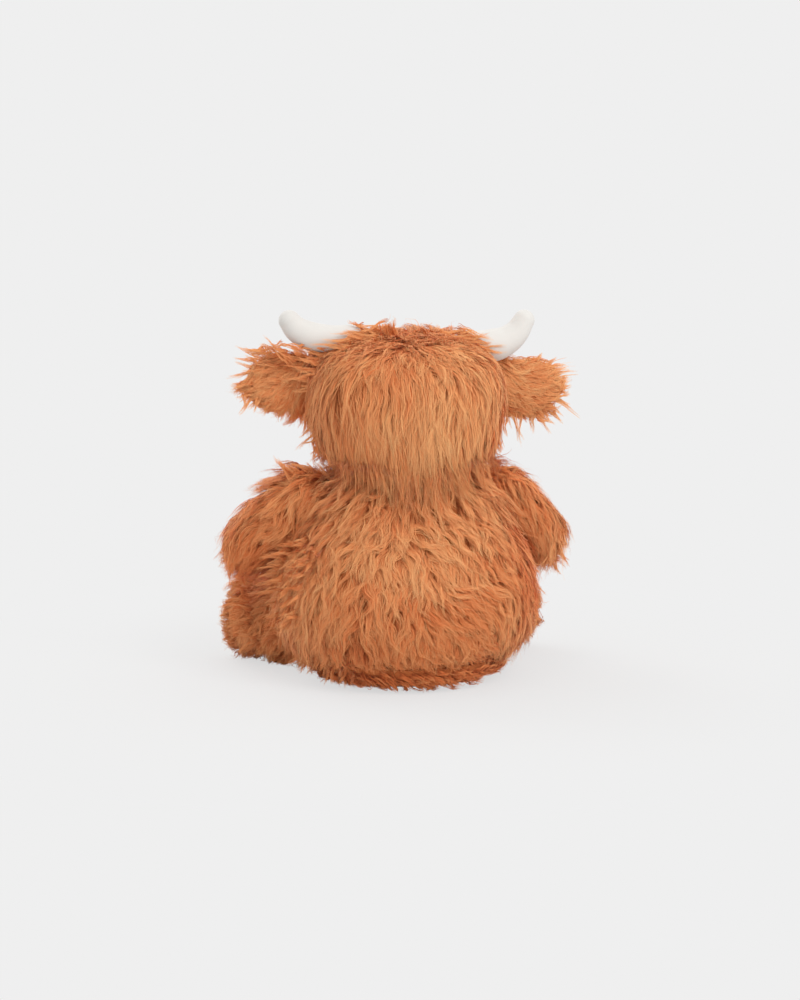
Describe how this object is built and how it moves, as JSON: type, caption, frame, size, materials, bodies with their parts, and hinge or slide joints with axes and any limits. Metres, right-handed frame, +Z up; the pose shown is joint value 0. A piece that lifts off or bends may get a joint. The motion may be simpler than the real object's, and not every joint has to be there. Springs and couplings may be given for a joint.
{
  "type": "plush cow",
  "caption": "Seated plush cow with long shaggy ginger fur, stuffed off-white horns, side ears, stubby arms and splayed legs; limbs, ears and head move.",
  "frame": {"origin": "on the floor, at the middle of the flat base, straight under the neck", "axes": "+Z up, the face looks towards -Y, and the toy's own left arm is on the +X side"},
  "size_m": [0.3174, 0.2485, 0.3304],
  "materials": {
    "long_fur": "long shaggy pile, ginger",
    "short_cloth": "smooth short-pile cloth, cream",
    "horn_cloth": "smooth short-pile cloth, off-white",
    "fibre_fill": "loose polyester fibre",
    "bag_cotton": "plain woven cotton",
    "black_plastic": "polished black",
    "brown_thread": "satin stitch, dark brown"
  },
  "bodies": {
    "torso": {"base_panel": "long_fur", "body_back_left_panel": "long_fur", "body_back_right_panel": "long_fur", "body_front_panel": "long_fur", "body_fill": "fibre_fill", "pellet_bag": "bag_cotton"},
    "neck": {"neck_fill": "fibre_fill"},
    "head": {"head_back_panel": "long_fur", "head_face_panel": "long_fur", "head_fill": "fibre_fill", "fringe": "long_fur", "muzzle_cover": "short_cloth", "muzzle_fill": "fibre_fill", "left_eye": "black_plastic", "right_eye": "black_plastic", "left_eye_washer": "black_plastic", "right_eye_washer": "black_plastic", "left_nostril": "brown_thread", "right_nostril": "brown_thread", "left_horn_cover": "horn_cloth", "right_horn_cover": "horn_cloth", "left_horn_fill": "fibre_fill", "right_horn_fill": "fibre_fill"},
    "left_ear": {"left_ear_back": "long_fur", "left_ear_lining": "short_cloth"},
    "right_ear": {"right_ear_back": "long_fur", "right_ear_lining": "short_cloth"},
    "left_arm": {"left_arm_cover": "long_fur", "left_arm_fill": "fibre_fill"},
    "right_arm": {"right_arm_cover": "long_fur", "right_arm_fill": "fibre_fill"},
    "left_leg": {"left_leg_cover": "long_fur", "left_leg_fill": "fibre_fill", "left_sole": "short_cloth"},
    "right_leg": {"right_leg_cover": "long_fur", "right_leg_fill": "fibre_fill", "right_sole": "short_cloth"}
  },
  "joints": [
    {"name": "neck_turn", "type": "hinge", "parent": "torso", "child": "neck", "pos_m": [0, 0, 0.198], "axis": [0, 0, 1], "range_deg": [-20, 20], "stiffness_Nm_per_rad": 0.6},
    {"name": "head_nod", "type": "hinge", "parent": "neck", "child": "head", "pos_m": [0, 0, 0.198], "axis": [1, 0, 0], "range_deg": [-7, 9], "stiffness_Nm_per_rad": 1.2},
    {"name": "left_ear_fold", "type": "hinge", "parent": "head", "child": "left_ear", "pos_m": [0.0922, -0.015, 0.26264], "axis": [-0.0872, 0, -0.9962], "range_deg": [-25, 35], "stiffness_Nm_per_rad": 0.02},
    {"name": "right_ear_fold", "type": "hinge", "parent": "head", "child": "right_ear", "pos_m": [-0.0922, -0.015, 0.26264], "axis": [-0.0872, 0, 0.9962], "range_deg": [-25, 35], "stiffness_Nm_per_rad": 0.02},
    {"name": "left_arm_swing", "type": "hinge", "parent": "torso", "child": "left_arm", "pos_m": [0.08596, -0.00792, 0.16307], "axis": [-0.4695, -0.8829, 0], "range_deg": [-6, 45], "stiffness_Nm_per_rad": 0.5},
    {"name": "right_arm_swing", "type": "hinge", "parent": "torso", "child": "right_arm", "pos_m": [-0.08596, -0.00792, 0.16307], "axis": [-0.4695, 0.8829, 0], "range_deg": [-6, 45], "stiffness_Nm_per_rad": 0.5},
    {"name": "left_leg_lift", "type": "hinge", "parent": "torso", "child": "left_leg", "pos_m": [0.07321, -0.06364, 0.038], "axis": [-0.6561, -0.7547, 0], "range_deg": [0, 25], "stiffness_Nm_per_rad": 0.6},
    {"name": "right_leg_lift", "type": "hinge", "parent": "torso", "child": "right_leg", "pos_m": [-0.07321, -0.06364, 0.038], "axis": [-0.6561, 0.7547, 0], "range_deg": [0, 25], "stiffness_Nm_per_rad": 0.6}
  ]
}
